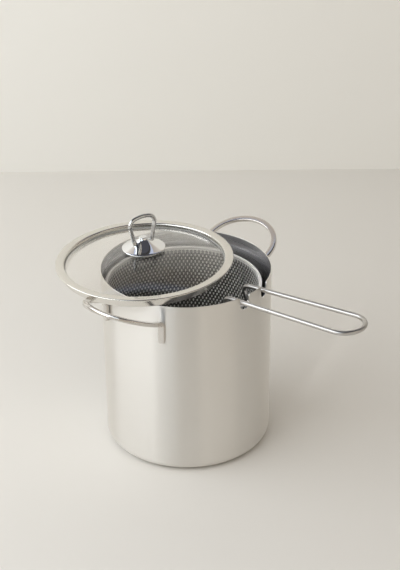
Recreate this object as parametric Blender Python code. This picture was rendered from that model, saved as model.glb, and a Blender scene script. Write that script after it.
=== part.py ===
"""Deep fry pot with a lift-out perforated basket and a glass lid laid askew on the rim.

Metres, +Z up. The origin is the centre of the base, on the surface the pot stands on.
The side handles lie along X and the basket handle points along -Y.
"""
import math

import bmesh
import bpy
from mathutils import Matrix, Vector

# Gap left between pieces that touch
SEAT_GAP = 0.0003

# Facets round turned pieces and wires
SEGMENTS = 60
KNOB_SEGMENTS = 40
PAD_SEGMENTS = 32
SCREW_SEGMENTS = 24
SOCKET_SEGMENTS = 16
RIM_BEAD_SIDES = 8
WIRE_SIDES = 10

# Pot
POT_BORE_RADIUS = 0.090
POT_WALL = 0.0010
POT_HEIGHT = 0.202
POT_CORNER_RADIUS = 0.009
POT_RIM_CHAMFER = 0.0003
POT_RADIUS = POT_BORE_RADIUS + POT_WALL

# Encapsulated base: an aluminium disc under the floor, closed by a steel cap
BASE_STAND_OFF = 0.0020
BASE_RECESS_HEIGHT = 0.0055
BASE_RECESS_SLOPE = 0.0015
BASE_CAP_MARGIN = 0.0155
BASE_CAP_CLEARANCE = 0.0010
BASE_CAP_SHEET = 0.0006
BASE_CAP_EDGE_RADIUS = 0.0015
BASE_CAP_RADIUS = POT_RADIUS - BASE_CAP_MARGIN
BASE_RECESS_RADIUS = BASE_CAP_RADIUS + BASE_CAP_CLEARANCE
POT_FLOOR = BASE_RECESS_HEIGHT + POT_WALL

# Two notches in the rim let the wires of the basket handle through
NOTCH_SPACING = 0.0334
NOTCH_WIDTH = 0.0123
NOTCH_DEPTH = 0.0150
NOTCH_LIP_RADIUS = 0.0025
NOTCH_CUTTER_START = 0.0050
NOTCH_CUTTER_DEPTH = 0.0200

# Side handles: a flat bar bent into an arc that rises outwards, with both ends turned down
SIDE_BAR_WIDTH = 0.0066
SIDE_BAR_THICKNESS = 0.0044
SIDE_BAR_EDGE = 0.0015
SIDE_RIGHT_TURN = math.radians(2.0)
SIDE_LEFT_TURN = math.radians(178.5)
SIDE_REACH = 0.0440
SIDE_LEG_ANGLE = math.radians(24.0)
SIDE_ARC_OVERRUN = math.radians(14.0)
SIDE_RISE = math.radians(23.4)
SIDE_ROOT_DROP = 0.0164
SIDE_BEND_RADIUS = 0.0085
SIDE_LEG_END_DROP = 0.0405

# Basket
BASKET_SHIFT = (-0.0030, 0.0014)
BASKET_CLEARANCE = 0.0088
BASKET_RADIUS = POT_BORE_RADIUS - BASKET_CLEARANCE
BASKET_SHEET = 0.0007
BASKET_RIM_DROP = 0.0157
BASKET_RIM_BEAD = 0.0037
BASKET_RIM_CENTRE_OFFSET = 0.0009
BASKET_FLOOR_SHEET = 0.0008
BASKET_FLOOR_CORNER = 0.0030
BASKET_FLOOR_LIP = 0.0062

# Perforation of the basket: holes of about the real size, at a wider pitch than the real sheet
HOLES_AROUND = 30
HOLE_ROWS = 8
HOLE_WIDTH = 0.0042
HOLE_HEIGHT = 0.0084
WALL_PLAIN_FOOT = 0.0090
WALL_PLAIN_TOP = 0.0060
FLOOR_HOLE_RINGS = 4
FLOOR_HOLE_PITCH = 0.0155
FLOOR_HOLE_RADIUS = 0.0022
FLOOR_HOLE_SIDES = 6

# Basket handle: one wire bent into a long loop
WIRE_DIAMETER = 0.0050
WIRE_ROOT_SPACING = 0.0338
WIRE_END_SPACING = 0.0408
WIRE_WALL_DROP = 0.0058
WIRE_RISE = math.radians(2.9)
WIRE_REACH = 0.1330
WIRE_BEND_RADIUS = 0.0060
WIRE_LEG_INSET = 0.0075
WIRE_LEG_LEAN = math.radians(20.0)
WIRE_FOOT_LENGTH = 0.0070

# Lid: a domed glass in a steel band, laid off centre
LID_SHIFT = 0.0442
LID_SHIFT_ANGLE = math.radians(127.5)
LID_OVERLAP = 0.0046
LID_BAND_WIDTH = 0.0093
LID_FLANGE_THICKNESS = 0.0020
LID_BAND_SHEET = 0.0009
LID_SKIRT_CLEARANCE = 0.0011
LID_SKIRT_DEPTH = 0.0106
LID_EDGE_ROUND = 0.0008
LID_TILT_LIMIT = math.radians(4.0)
LID_RADIUS = POT_BORE_RADIUS + LID_OVERLAP
LID_BAND_INNER_RADIUS = LID_RADIUS - LID_BAND_WIDTH
GLASS_THICKNESS = 0.0035
GLASS_EDGE_DROP = 0.0059
GLASS_DOME_RADIUS = 0.2280
GLASS_HOLE_RADIUS = 0.0040
GLASS_EDGE_CLEARANCE = 0.0010
SEAL_LAP = 0.0026
SEAL_LIP = 0.0005

# Knob: a turned bell with a hollow flank and two sockets for the ends of a wire loop
KNOB_BASE_RADIUS = 0.0230
KNOB_BASE_EDGE = 0.0009
KNOB_TOP_RADIUS = 0.0046
KNOB_HEIGHT = 0.0127
KNOB_BORE_DEPTH = 0.0091
KNOB_FLARE_TOP = 0.0115
KNOB_FLARE_POWER = 2.2
KNOB_SOCKET_HEIGHT = 0.0052
KNOB_SOCKET_FLOOR = 0.0038
KNOB_LOOP_ANGLE = math.radians(162.0)
KNOB_LOOP_WIRE = 0.0044
KNOB_LOOP_HALF_WIDTH = 0.0150
KNOB_LOOP_HEIGHT = 0.0307
KNOB_LOOP_MOUTH = 0.0075
KNOB_LOOP_BEND = 0.0034
KNOB_LOOP_LEAN = math.radians(66.0)
PAD_RADIUS = 0.0205
PAD_THICKNESS = 0.0005

# Knob fixing under the glass
SCREW_RADIUS = 0.0025
SCREW_HEAD_RADIUS = 0.0045
SCREW_HEAD_HEIGHT = 0.0026
SCREW_SOCKET_RADIUS = 0.0018
SCREW_SOCKET_DEPTH = 0.0015
WASHER_RADIUS = 0.0110
WASHER_THICKNESS = 0.0010
WASHER_PAD_THICKNESS = 0.0010


def clear_scene():
    for thing in list(bpy.data.objects):
        bpy.data.objects.remove(thing, do_unlink=True)


def material(name, colour, roughness, metallic=0.0, transmission=0.0):
    mat = bpy.data.materials.new(name)
    mat.use_nodes = True
    shader = mat.node_tree.nodes["Principled BSDF"]
    shader.inputs["Base Color"].default_value = (*colour, 1.0)
    shader.inputs["Roughness"].default_value = roughness
    shader.inputs["Metallic"].default_value = metallic
    shader.inputs["Transmission Weight"].default_value = transmission
    mat.diffuse_color = (*colour, 1.0)
    return mat


def satin_steel(name):
    return material(name, (0.72, 0.70, 0.67), 0.30, metallic=1.0)


def polished_steel(name):
    return material(name, (0.82, 0.81, 0.79), 0.08, metallic=1.0)


def silicone(name):
    return material(name, (0.55, 0.55, 0.54), 0.60)


def finish(name, bm, mat, parent=None):
    """Turn a bmesh into a named, smooth-shaded object with faces pointing out."""
    bmesh.ops.recalc_face_normals(bm, faces=bm.faces)
    mesh = bpy.data.meshes.new(name)
    bm.to_mesh(mesh)
    bm.free()
    mesh.shade_smooth()
    mesh.set_sharp_from_angle(angle=math.radians(35.0))
    mesh.materials.append(mat)
    thing = bpy.data.objects.new(name, mesh)
    bpy.context.collection.objects.link(thing)
    thing.parent = parent
    return thing


def empty(name, location, tilt_matrix=None):
    marker = bpy.data.objects.new(name, None)
    bpy.context.collection.objects.link(marker)
    frame = tilt_matrix or Matrix.Identity(4)
    marker.matrix_world = Matrix.Translation(location) @ frame
    return marker


def arc(centre, radius, start, end, steps):
    """Points of an arc in the (radius, height) plane, angles in degrees."""
    points = []
    for i in range(steps + 1):
        a = math.radians(start + (end - start) * i / steps)
        points.append((centre[0] + radius * math.cos(a), centre[1] + radius * math.sin(a)))
    return points


def turn(profile, segments=SEGMENTS, closed=True):
    """Spin an outline of (radius, height) points round Z into one closed body."""
    bm = bmesh.new()
    verts = [bm.verts.new((r, 0.0, z)) for r, z in profile]
    edges = [bm.edges.new(pair) for pair in zip(verts, verts[1:])]
    if closed:
        edges.append(bm.edges.new((verts[-1], verts[0])))
    bmesh.ops.spin(
        bm, geom=verts + edges, cent=(0, 0, 0), axis=(0, 0, 1),
        angle=math.tau, steps=segments, use_merge=True)
    bmesh.ops.remove_doubles(bm, verts=bm.verts, dist=1e-6)
    return bm


def prism(outline, depth):
    """Extrude a flat outline of (x, z) points along +Y."""
    bm = bmesh.new()
    face = bm.faces.new([bm.verts.new((x, 0.0, z)) for x, z in outline])
    made = bmesh.ops.extrude_face_region(bm, geom=[face])
    moved = [v for v in made["geom"] if isinstance(v, bmesh.types.BMVert)]
    bmesh.ops.translate(bm, verts=moved, vec=(0.0, depth, 0.0))
    return bm


def sweep(path, section):
    """Loft one cross-section along a path of (point, across, up) frames, with flat ends."""
    sides = len(section)
    bm = bmesh.new()
    rings = []
    for point, across, up in path:
        rings.append([bm.verts.new(point + across * u + up * v) for u, v in section])
    for ring, following in zip(rings, rings[1:]):
        for k in range(sides):
            n = (k + 1) % sides
            bm.faces.new((ring[k], ring[n], following[n], following[k]))
    bm.faces.new(rings[0])
    bm.faces.new(rings[-1])
    return bm


def round_section(diameter, sides):
    radius = diameter / 2.0
    return [(radius * math.cos(math.tau * k / sides), radius * math.sin(math.tau * k / sides))
            for k in range(sides)]


def bar_section(width, thickness, edge):
    """A flat bar with chamfered edges."""
    w = width / 2.0
    t = thickness / 2.0
    return [(w, -t + edge), (w, t - edge), (w - edge, t), (-w + edge, t),
            (-w, t - edge), (-w, -t + edge), (-w + edge, -t), (w - edge, -t)]


def cutter(name, bm, parent=None):
    bmesh.ops.recalc_face_normals(bm, faces=bm.faces)
    mesh = bpy.data.meshes.new(name)
    bm.to_mesh(mesh)
    bm.free()
    tool = bpy.data.objects.new(name, mesh)
    bpy.context.collection.objects.link(tool)
    tool.parent = parent
    tool.hide_render = True
    tool.display_type = "WIRE"
    return tool


def cut(thing, tool):
    modifier = thing.modifiers.new(tool.name, "BOOLEAN")
    modifier.operation = "DIFFERENCE"
    modifier.solver = "EXACT"
    modifier.object = tool


# Pot

def pot_profile():
    outer = POT_RADIUS
    inner = POT_BORE_RADIUS
    corner = POT_CORNER_RADIUS
    low = BASE_STAND_OFF
    step = BASE_RECESS_RADIUS
    top = POT_HEIGHT
    chamfer = POT_RIM_CHAMFER
    under = arc((outer - corner, low + corner), corner, -90, 0, 6)
    over = arc((outer - corner, low + corner), corner - POT_WALL, 0, -90, 6)
    points = [(0.0, BASE_RECESS_HEIGHT), (step, BASE_RECESS_HEIGHT)]
    points += [(step + BASE_RECESS_SLOPE, low)] + under
    points += [(outer, top - chamfer), (outer - chamfer, top)]
    points += [(inner + chamfer, top), (inner, top - chamfer)] + over
    points += [(step + BASE_RECESS_SLOPE + POT_WALL / 2, low + POT_WALL)]
    points += [(step + POT_WALL / 2, POT_FLOOR), (0.0, POT_FLOOR)]
    return points


def notch_outline():
    """Slot with a round bottom and lips that curve out into the rim."""
    half = NOTCH_WIDTH / 2.0
    lip = NOTCH_LIP_RADIUS
    rim = POT_HEIGHT
    bottom = arc((0.0, rim - NOTCH_DEPTH + half), half, 180, 360, 12)
    right_lip = arc((half + lip, rim - lip), lip, 180, 90, 4)
    left_lip = arc((-half - lip, rim - lip), lip, 90, 0, 4)
    above = rim + lip
    return bottom + right_lip + [(half + lip, above), (-half - lip, above)] + left_lip


def make_pot_body():
    body = finish("pot_body", turn(pot_profile(), closed=False), satin_steel("pot_steel"))
    for side, label in ((-1, "left"), (1, "right")):
        bm = prism(notch_outline(), NOTCH_CUTTER_DEPTH)
        bmesh.ops.translate(bm, verts=bm.verts, vec=(
            side * NOTCH_SPACING / 2.0, -POT_RADIUS - NOTCH_CUTTER_START, 0.0))
        cut(body, cutter("notch_cutter_" + label, bm))
    return body


def make_base():
    core_top = BASE_RECESS_HEIGHT - SEAT_GAP
    core_low = BASE_CAP_SHEET + SEAT_GAP
    core_radius = BASE_CAP_RADIUS - BASE_CAP_SHEET - SEAT_GAP
    core = [(0.0, core_top), (core_radius, core_top), (core_radius, core_low), (0.0, core_low)]
    finish("base_core", turn(core, closed=False),
           material("core_aluminium", (0.80, 0.81, 0.82), 0.45, metallic=1.0))
    edge = BASE_CAP_EDGE_RADIUS
    radius = BASE_CAP_RADIUS
    inside = radius - BASE_CAP_SHEET
    outer_bend = arc((radius - edge, edge), edge, -90, 0, 4)
    cap = [(0.0, 0.0)] + outer_bend + [(radius, core_top), (inside, core_top)]
    cap += [(inside, BASE_CAP_SHEET), (0.0, BASE_CAP_SHEET)]
    finish("base_cap", turn(cap, closed=False), satin_steel("cap_steel"))


# Side handles

def side_handle_path():
    """Frames of half a side handle, from the foot of its leg to the middle of its arc."""
    leg_radius = POT_RADIUS + SEAT_GAP + SIDE_BAR_THICKNESS / 2.0
    foot = Vector((math.cos(SIDE_LEG_ANGLE), math.sin(SIDE_LEG_ANGLE), 0.0)) * leg_radius
    bend_in = SIDE_BEND_RADIUS * (1.0 - math.sin(SIDE_RISE))
    bend_drop = SIDE_BEND_RADIUS * math.cos(SIDE_RISE)
    reach = POT_RADIUS + SIDE_REACH
    # the arc starts where the bend ends, and its plan is part of an ellipse
    over = SIDE_ARC_OVERRUN
    heading = over
    for _ in range(20):
        outward = Vector((math.cos(heading), math.sin(heading), 0.0))
        start = foot + outward * bend_in
        depth = (reach - start.x) / (1.0 + math.sin(over))
        width = start.y / math.cos(over)
        heading = math.atan2(width * math.sin(over), depth * math.cos(over))
    centre_x = reach - depth
    root_height = POT_HEIGHT - SIDE_ROOT_DROP
    slope = math.tan(SIDE_RISE)

    def on_plane(x, y):
        return Vector((x, y, root_height + (x - POT_RADIUS) * slope))

    frames = []
    wall_across = Vector((-math.sin(SIDE_LEG_ANGLE), math.cos(SIDE_LEG_ANGLE), 0.0))
    wall_out = Vector((math.cos(SIDE_LEG_ANGLE), math.sin(SIDE_LEG_ANGLE), 0.0))
    start_point = on_plane(start.x, start.y)
    leg_top = start_point.z - bend_drop
    leg_end = POT_HEIGHT - SIDE_LEG_END_DROP
    frames.append((Vector((foot.x, foot.y, leg_end)), wall_across, -wall_out))
    frames.append((Vector((foot.x, foot.y, leg_top)), wall_across, -wall_out))
    bend_steps = 5
    for i in range(1, bend_steps):
        turn_angle = math.pi / 2 - (math.pi / 2 - SIDE_RISE) * i / bend_steps
        share = i / bend_steps
        out = wall_out.lerp(outward, share).normalized()
        across = Vector((-out.y, out.x, 0.0))
        point = start_point - outward * SIDE_BEND_RADIUS * (
            math.sin(turn_angle) - math.sin(SIDE_RISE))
        point.z = start_point.z - SIDE_BEND_RADIUS * (
            math.cos(SIDE_RISE) - math.cos(turn_angle))
        up = Vector((0, 0, math.cos(turn_angle))) - out * math.sin(turn_angle)
        frames.append((point, across, up))
    plane_up = Vector((-math.sin(SIDE_RISE), 0.0, math.cos(SIDE_RISE)))
    arc_steps = 14
    for i in range(arc_steps + 1):
        angle = (math.pi / 2 + over) * (1.0 - i / arc_steps)
        point = on_plane(centre_x + depth * math.cos(angle), width * math.sin(angle))
        tangent = Vector((depth * math.sin(angle), -width * math.cos(angle), 0.0))
        tangent.z = tangent.x * slope
        tangent.normalize()
        frames.append((point, plane_up.cross(tangent).normalized(), plane_up))
    return frames


def full_side_path():
    half = side_handle_path()
    mirrored = []
    for point, across, up in reversed(half[:-1]):
        mirrored.append((
            Vector((point.x, -point.y, point.z)),
            Vector((across.x, -across.y, across.z)),
            Vector((up.x, -up.y, up.z))))
    return half + mirrored


def make_side_handles():
    section = bar_section(SIDE_BAR_WIDTH, SIDE_BAR_THICKNESS, SIDE_BAR_EDGE)
    for name, heading in (("side_handle_right", SIDE_RIGHT_TURN),
                          ("side_handle_left", SIDE_LEFT_TURN)):
        bm = sweep(full_side_path(), section)
        bmesh.ops.rotate(bm, verts=bm.verts, cent=(0, 0, 0),
                         matrix=Matrix.Rotation(heading, 3, "Z"))
        finish(name, bm, polished_steel(name + "_steel"))


# Basket, drawn round its own axis; heights are measured from the pot's base

BASKET_BOTTOM = POT_FLOOR + SEAT_GAP
BASKET_RIM_HEIGHT = POT_HEIGHT - BASKET_RIM_DROP
BASKET_WALL_TOP = BASKET_RIM_HEIGHT - BASKET_RIM_BEAD - SEAT_GAP
BASKET_INSIDE = (BASKET_RADIUS - BASKET_SHEET) * math.cos(math.pi / (2 * HOLES_AROUND))


def perforated_wall(radius, bottom, top, foot, head, around, rows):
    """Sheet cylinder with staggered diamond holes, drawn as a skin to be thickened.

    Every hole has a diamond tile of its own; the tiles share corners, and plain bands
    close the wall below and above them.
    """
    bm = bmesh.new()
    half_angle = math.pi / around
    low = bottom + foot
    half_row = (top - head - low) / (rows + 1)
    hole_columns = HOLE_WIDTH / 2.0 / (radius * half_angle)
    hole_rise = HOLE_HEIGHT / 2.0
    corners = {}

    def place(column, height):
        angle = column * half_angle
        return (radius * math.cos(angle), radius * math.sin(angle), height)

    def corner(column, row):
        key = (column % (2 * around), row)
        if key not in corners:
            corners[key] = bm.verts.new(place(key[0], low + row * half_row))
        return corners[key]

    for row in range(1, rows + 1):
        for column in range(row % 2, 2 * around, 2):
            height = low + row * half_row
            tile = [corner(column + 1, row), corner(column, row + 1),
                    corner(column - 1, row), corner(column, row - 1)]
            hole = [bm.verts.new(place(column + du * hole_columns, height + dv * hole_rise))
                    for du, dv in ((1, 0), (0, 1), (-1, 0), (0, -1))]
            for k in range(4):
                n = (k + 1) % 4
                bm.faces.new((tile[k], tile[n], hole[n], hole[k]))
    for edge_row, side_row, level in ((0, 1, bottom), (rows + 1, rows, top)):
        band = [bm.verts.new(place(column, level)) for column in range(2 * around)]
        for column in range(2 * around):
            following = (column + 1) % (2 * around)
            rows_met = [edge_row if (column + step + edge_row) % 2 else side_row
                        for step in (0, 1)]
            bm.faces.new((band[column], corner(column, rows_met[0]),
                          corner(column + 1, rows_met[1]), band[following]))
    return bm


def make_basket_wall(parent):
    bm = perforated_wall(
        BASKET_RADIUS, BASKET_BOTTOM + SEAT_GAP, BASKET_WALL_TOP, WALL_PLAIN_FOOT,
        WALL_PLAIN_TOP, HOLES_AROUND, HOLE_ROWS)
    wall = finish("basket_wall", bm, satin_steel("basket_wall_steel"), parent)
    wall.data.flip_normals()
    sheet = wall.modifiers.new("sheet", "SOLIDIFY")
    sheet.thickness = BASKET_SHEET
    sheet.offset = 1.0
    sheet.use_even_offset = False
    return wall


def make_basket_rim(parent):
    bead = BASKET_RIM_BEAD / 2.0
    centre = (BASKET_RADIUS + BASKET_RIM_CENTRE_OFFSET, BASKET_RIM_HEIGHT - bead)
    ring = arc(centre, bead, 0, 360, RIM_BEAD_SIDES)[:-1]
    finish("basket_rim", turn(ring), polished_steel("basket_rim_steel"), parent)


def make_basket_floor(parent):
    radius = BASKET_INSIDE - SEAT_GAP
    corner = BASKET_FLOOR_CORNER
    sheet = BASKET_FLOOR_SHEET
    low = BASKET_BOTTOM
    centre = (radius - corner, low + corner)
    lip = low + BASKET_FLOOR_LIP
    profile = [(0.0, low + sheet)]
    profile += arc(centre, corner - sheet, -90, 0, 4)
    profile += [(radius - sheet, lip), (radius, lip)]
    profile += arc(centre, corner, 0, -90, 4)
    profile += [(0.0, low)]
    floor = finish("basket_floor", turn(profile, closed=False),
                   satin_steel("basket_floor_steel"), parent)
    bm = bmesh.new()
    for ring in range(FLOOR_HOLE_RINGS + 1):
        count = 6 * ring or 1
        for k in range(count):
            angle = math.tau * (k + 0.5 * (ring % 2)) / count
            spot = (ring * FLOOR_HOLE_PITCH * math.cos(angle),
                    ring * FLOOR_HOLE_PITCH * math.sin(angle), low + sheet / 2.0)
            bmesh.ops.create_cone(
                bm, cap_ends=True, segments=FLOOR_HOLE_SIDES, radius1=FLOOR_HOLE_RADIUS,
                radius2=FLOOR_HOLE_RADIUS, depth=4 * sheet, matrix=Matrix.Translation(spot))
    cut(floor, cutter("floor_hole_cutter", bm, parent))
    return floor


def basket_handle_points():
    """Centre line of the wire, from one welded foot round the loop to the other.

    Each leg leans away from the basket's wall above its foot, then bends over the rim.
    """
    wire = WIRE_DIAMETER
    wall_height = POT_HEIGHT - WIRE_WALL_DROP
    slope = math.tan(WIRE_RISE)
    root = WIRE_ROOT_SPACING / 2.0
    tip = WIRE_END_SPACING / 2.0
    leg_distance = math.sqrt((BASKET_INSIDE - SEAT_GAP - wire / 2.0) ** 2 - root ** 2)
    bend = WIRE_BEND_RADIUS
    lean = WIRE_LEG_LEAN
    innermost = leg_distance - WIRE_LEG_INSET
    first = innermost + bend
    straight_end = POT_RADIUS + WIRE_REACH - wire / 2.0 - tip

    def height(distance):
        return wall_height + (distance - POT_RADIUS) * slope

    def spread(distance):
        share = (distance - first) / (straight_end - first)
        return root + (tip - root) * share

    bend_start = innermost + bend * (1.0 - math.cos(lean))
    foot_top = (height(first) - bend * (1.0 + math.sin(lean))
                - (leg_distance - bend_start) / math.tan(lean))
    half = [Vector((root, -leg_distance, foot_top - WIRE_FOOT_LENGTH)),
            Vector((root, -leg_distance, foot_top))]
    bend_end = math.pi / 2 - WIRE_RISE
    steps = 6
    for i in range(steps + 1):
        angle = -lean + (bend_end + lean) * i / steps
        out = innermost + bend * (1.0 - math.cos(angle))
        drop = bend * (1.0 - math.sin(angle))
        half.append(Vector((root, -out, height(first) - drop)))
    straight_steps = 6
    for i in range(1, straight_steps + 1):
        out = first + (straight_end - first) * i / straight_steps
        half.append(Vector((spread(out), -out, height(out))))
    round_steps = 8
    for i in range(1, round_steps + 1):
        angle = math.pi / 2 * i / round_steps
        out = straight_end + tip * math.sin(angle)
        half.append(Vector((tip * math.cos(angle), -out, height(out))))
    other = [Vector((-p.x, p.y, p.z)) for p in reversed(half[:-1])]
    return half + other


def wire_tube(points, diameter, sides):
    """Round wire along points, its section carried from point to point without twist."""
    frames = []
    last = len(points) - 1
    across = None
    for i, point in enumerate(points):
        tangent = (points[min(i + 1, last)] - points[max(i - 1, 0)]).normalized()
        if across is None:
            across = tangent.orthogonal().normalized()
        across = (across - tangent * across.dot(tangent)).normalized()
        frames.append((point, across, tangent.cross(across)))
    return sweep(frames, round_section(diameter, sides))


def make_basket_handle(parent):
    bm = wire_tube(basket_handle_points(), WIRE_DIAMETER, WIRE_SIDES)
    finish("basket_handle", bm, polished_steel("basket_handle_steel"), parent)


# Lid, drawn round its own axis with the top of its flange at height 0

LID_SKIRT_RADIUS = POT_BORE_RADIUS - LID_SKIRT_CLEARANCE
LID_SKIRT_INSIDE = LID_SKIRT_RADIUS - LID_BAND_SHEET
GLASS_RADIUS = LID_SKIRT_INSIDE - GLASS_EDGE_CLEARANCE


def glass_top(radius):
    """Height of the glass's upper face at a radius."""
    dome = GLASS_DOME_RADIUS
    return (math.sqrt(dome ** 2 - radius ** 2) - math.sqrt(dome ** 2 - GLASS_RADIUS ** 2)
            - GLASS_EDGE_DROP)


def glass_under(radius):
    return glass_top(radius) - GLASS_THICKNESS


def make_lid_rim(parent):
    inner = LID_BAND_INNER_RADIUS
    outer = LID_RADIUS
    edge = LID_EDGE_ROUND
    flange = LID_FLANGE_THICKNESS
    sheet = LID_BAND_SHEET
    skirt = LID_SKIRT_RADIUS
    bottom = -LID_SKIRT_DEPTH
    collar_low = glass_top(inner) + 2 * SEAT_GAP + SEAL_LIP
    profile = [(inner, collar_low), (inner, -edge), (inner + edge, 0.0), (outer - edge, 0.0)]
    profile += [(outer, -edge), (outer, -flange + edge / 2), (outer - edge / 2, -flange)]
    profile += [(skirt, -flange), (skirt, bottom + sheet / 2), (skirt - sheet / 2, bottom)]
    profile += [(LID_SKIRT_INSIDE, bottom + sheet / 2), (LID_SKIRT_INSIDE, -flange)]
    profile += [(inner + sheet, -flange), (inner + sheet, collar_low)]
    finish("lid_rim", turn(profile), satin_steel("lid_rim_steel"), parent)


def make_lid_glass(parent):
    steps = 5
    radii = [GLASS_HOLE_RADIUS + (GLASS_RADIUS - GLASS_HOLE_RADIUS) * i / steps
             for i in range(steps + 1)]
    profile = [(r, glass_top(r)) for r in radii]
    profile += [(r, glass_under(r)) for r in reversed(radii)]
    finish("lid_glass", turn(profile),
           material("lid_glass", (0.93, 0.95, 0.95), 0.02, transmission=1.0), parent)


def make_glass_seal(parent):
    """Silicone that beds the edge of the glass in the band."""
    gap = SEAT_GAP
    outer = LID_SKIRT_INSIDE - gap
    inner = GLASS_RADIUS - SEAL_LAP
    groove = GLASS_RADIUS + gap
    top = glass_top(GLASS_RADIUS) + gap
    under = glass_under(GLASS_RADIUS) - gap
    lap_rise = glass_top(inner) - glass_top(GLASS_RADIUS)
    lip = SEAL_LIP
    foot = -LID_SKIRT_DEPTH + LID_BAND_SHEET / 2
    profile = [(inner, top + lap_rise + lip), (outer, top + lip), (outer, foot)]
    profile += [(GLASS_RADIUS - lip, foot), (GLASS_RADIUS - lip, under)]
    profile += [(groove, under), (groove, top), (inner, top + lap_rise)]
    finish("glass_seal", turn(profile), silicone("seal_silicone"), parent)


# Knob

PAD_TOP = glass_top(GLASS_HOLE_RADIUS) + SEAT_GAP + PAD_THICKNESS
KNOB_FOOT = PAD_TOP + SEAT_GAP
SOCKET_HEIGHT = KNOB_FOOT + KNOB_SOCKET_HEIGHT


def make_knob_pad(parent):
    steps = 3
    inner = GLASS_HOLE_RADIUS
    radii = [inner + (PAD_RADIUS - inner) * i / steps for i in range(steps + 1)]
    profile = [(inner, PAD_TOP), (PAD_RADIUS, PAD_TOP)]
    profile += [(r, glass_top(r) + SEAT_GAP) for r in reversed(radii)]
    finish("knob_pad", turn(profile, PAD_SEGMENTS), silicone("pad_silicone"), parent)


def knob_flare(share):
    """Radius of the bell at a share of the way up its flare."""
    return (KNOB_TOP_RADIUS
            + (KNOB_BASE_RADIUS - KNOB_TOP_RADIUS) * (1.0 - share) ** KNOB_FLARE_POWER)


def make_knob_base(parent):
    foot = KNOB_FOOT
    bore = SCREW_RADIUS + SEAT_GAP
    bore_top = foot + KNOB_BORE_DEPTH
    edge = KNOB_BASE_EDGE
    flare_low = foot + edge
    flare_top = foot + KNOB_FLARE_TOP
    steps = 10
    profile = [(0.0, bore_top), (bore, bore_top), (bore, foot)]
    profile += [(KNOB_BASE_RADIUS - edge / 2, foot), (KNOB_BASE_RADIUS, foot + edge / 2)]
    for i in range(steps + 1):
        share = i / steps
        profile.append((knob_flare(share), flare_low + (flare_top - flare_low) * share))
    top = foot + KNOB_HEIGHT
    profile += [(KNOB_TOP_RADIUS, top - edge), (KNOB_TOP_RADIUS - edge, top), (0.0, top)]
    knob = finish("knob_base", turn(profile, KNOB_SEGMENTS, closed=False),
                  material("knob_chrome", (0.86, 0.87, 0.88), 0.03, metallic=1.0), parent)
    for label, side in (("a", 1), ("b", -1)):
        path = [Vector((side * p.x, 0.0, p.z)) for p in knob_loop_outline() if p.x > 0.0]
        path = [p for p in path if p.z < KNOB_HEIGHT]
        path[0].x = side * KNOB_SOCKET_FLOOR
        bm = wire_tube(knob_loop_place(path), KNOB_LOOP_WIRE + 2 * SEAT_GAP, SOCKET_SEGMENTS)
        cut(knob, cutter("socket_cutter_" + label, bm, parent))
    return knob


def smooth_through(points, steps):
    """Catmull-Rom curve through points in a plane, with the same steps in each span."""
    padded = [points[0]] + list(points) + [points[-1]]
    out = []
    for a, b, c, d in zip(padded, padded[1:], padded[2:], padded[3:]):
        for i in range(steps):
            t = i / steps
            out.append(0.5 * ((2 * b) + (c - a) * t + (2 * a - 5 * b + 4 * c - d) * t * t
                              + (3 * b - a - 3 * c + d) * t ** 3))
    out.append(points[-1])
    return out


def knob_loop_outline():
    """Pear-shaped loop in its own plane, widest near its top, with its ends in the sockets."""
    half = KNOB_LOOP_HALF_WIDTH
    rise = KNOB_LOOP_HEIGHT
    lean = math.degrees(KNOB_LOOP_LEAN)
    shape = [(KNOB_SOCKET_FLOOR + SEAT_GAP, 0.0)]
    shape += arc((KNOB_LOOP_MOUTH, KNOB_LOOP_BEND), KNOB_LOOP_BEND, -90, lean - 90, 3)
    shape += [(half * 0.84, rise * 0.34), (half * 0.97, rise * 0.60), (half * 0.98, rise * 0.79),
              (half * 0.72, rise * 0.94), (half * 0.30, rise * 0.99)]
    outline = [Vector((x, 0.0, z)) for x, z in shape] + [Vector((0.0, 0.0, rise))]
    outline += [Vector((-x, 0.0, z)) for x, z in reversed(shape)]
    return smooth_through(outline, 2)


def knob_loop_place(points):
    """Points of the loop's plane, turned and raised to the height of the sockets."""
    turned = Matrix.Rotation(KNOB_LOOP_ANGLE, 3, "Z")
    return [turned @ p + Vector((0.0, 0.0, SOCKET_HEIGHT)) for p in points]


def make_knob_loop(parent):
    bm = wire_tube(knob_loop_place(knob_loop_outline()), KNOB_LOOP_WIRE, WIRE_SIDES)
    finish("knob_loop", bm,
           material("loop_chrome", (0.86, 0.87, 0.88), 0.04, metallic=1.0), parent)


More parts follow.
